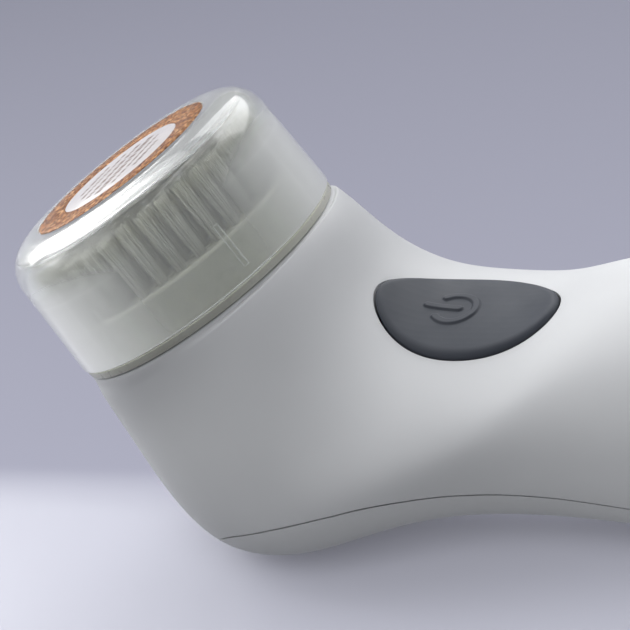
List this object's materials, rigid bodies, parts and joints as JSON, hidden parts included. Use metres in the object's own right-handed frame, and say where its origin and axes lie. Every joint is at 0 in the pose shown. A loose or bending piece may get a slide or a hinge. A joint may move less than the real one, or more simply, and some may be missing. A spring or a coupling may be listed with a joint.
{
  "type": "facial cleansing brush",
  "caption": "Sonic facial cleansing brush with a bristle head under a clear cap, a bent white handle and a grey power button.",
  "frame": {"origin": "centre of the bounding box on the plane the brush lies on, back down", "axes": "+X along the handle away from the brush head, +Y across, +Z towards the button side"},
  "size_m": [0.165, 0.0542, 0.0712],
  "materials": {
    "housing_white": "satin gloss white",
    "bezel_white": "satin",
    "seal_rubber": "matt",
    "cap_clear": "clear, slightly frosted",
    "label_copper": "metallic foil",
    "label_white": "printed film",
    "brush_ring": "translucent grey-green",
    "brush_disc": "satin",
    "bristle_nylon": "soft nylon filament",
    "drive_plastic": "satin",
    "frame_plastic": "matt",
    "spring_steel": "bright",
    "screw_steel": "zinc plated",
    "armature_steel": "bright",
    "core_iron": "laminated",
    "bobbin_nylon": "satin",
    "winding_copper": "enamelled copper wire",
    "cell_wrap": "shrink-wrapped cell",
    "tab_nickel": "nickel strip",
    "board_green": "solder mask",
    "button_rubber": "matt grey",
    "backing_plastic": "satin",
    "ferrite_grey": "sintered",
    "lead_sleeve": "insulated lead"
  },
  "bodies": {
    "handle": {"front_housing": "housing_white", "back_cover": "housing_white", "head_bezel": "bezel_white", "head_seal_ring": "seal_rubber", "cover_gasket": "seal_rubber", "drive_boot": "seal_rubber", "motor_bracket": "frame_plastic", "chassis": "frame_plastic", "switch_body": "frame_plastic", "controller_chip": "frame_plastic", "charge_driver": "frame_plastic", "flexure_plate": "spring_steel", "motor_screw_1": "screw_steel", "motor_screw_2": "screw_steel", "motor_screw_3": "screw_steel", "chassis_screw_1": "screw_steel", "chassis_screw_2": "screw_steel", "stator_core": "core_iron", "coil_bobbin": "bobbin_nylon", "coil_winding": "winding_copper", "charging_coil": "winding_copper", "battery_cell": "cell_wrap", "capacitor": "cell_wrap", "battery_tab_negative": "tab_nickel", "battery_tab_positive": "tab_nickel", "circuit_board": "board_green", "charging_ferrite": "ferrite_grey", "motor_lead_1": "lead_sleeve", "motor_lead_2": "lead_sleeve"},
    "brush_ring": {"brush_outer_ring": "brush_ring", "outer_bristles": "bristle_nylon"},
    "cap": {"clear_cap": "cap_clear", "cap_label_ring": "label_copper", "cap_label_centre": "label_white"},
    "brush_disc": {"brush_inner_disc": "brush_disc", "inner_bristles": "bristle_nylon"},
    "drive": {"drive_hub": "drive_plastic", "armature": "armature_steel", "magnet_left": "armature_steel", "magnet_right": "armature_steel"},
    "button": {"power_button": "button_rubber", "button_backing": "backing_plastic"},
    "plunger": {"switch_plunger": "frame_plastic"}
  },
  "joints": [
    {"name": "brush_head_lift", "type": "slide", "parent": "handle", "child": "brush_ring", "axis": [-0.342, 0, 0.9397], "range_m": [0, 0.03]},
    {"name": "cap_lift", "type": "slide", "parent": "brush_ring", "child": "cap", "axis": [-0.342, 0, 0.9397], "range_m": [0, 0.045]},
    {"name": "drive_turn", "type": "hinge", "parent": "handle", "child": "drive", "pos_m": [-0.05457, 0, 0.0449], "axis": [-0.342, 0, 0.9397], "range_deg": [-8, 8], "stiffness_Nm_per_rad": 0.03},
    {"name": "brush_turn", "type": "hinge", "parent": "brush_ring", "child": "brush_disc", "pos_m": [-0.05457, 0, 0.0449], "axis": [-0.342, 0, 0.9397], "range_deg": [-8, 8]},
    {"name": "power_press", "type": "slide", "parent": "handle", "child": "button", "axis": [0, 0, -1], "range_m": [0, 0.0005], "stiffness_N_per_m": 1500, "springref_m": -0.0003},
    {"name": "switch_press", "type": "slide", "parent": "handle", "child": "plunger", "axis": [0, 0, -1], "range_m": [0, 0.0005]}
  ],
  "couplings": [
    {"joint": "brush_turn", "follows": "drive_turn", "ratio": 1},
    {"joint": "switch_press", "follows": "power_press", "ratio": 1}
  ]
}
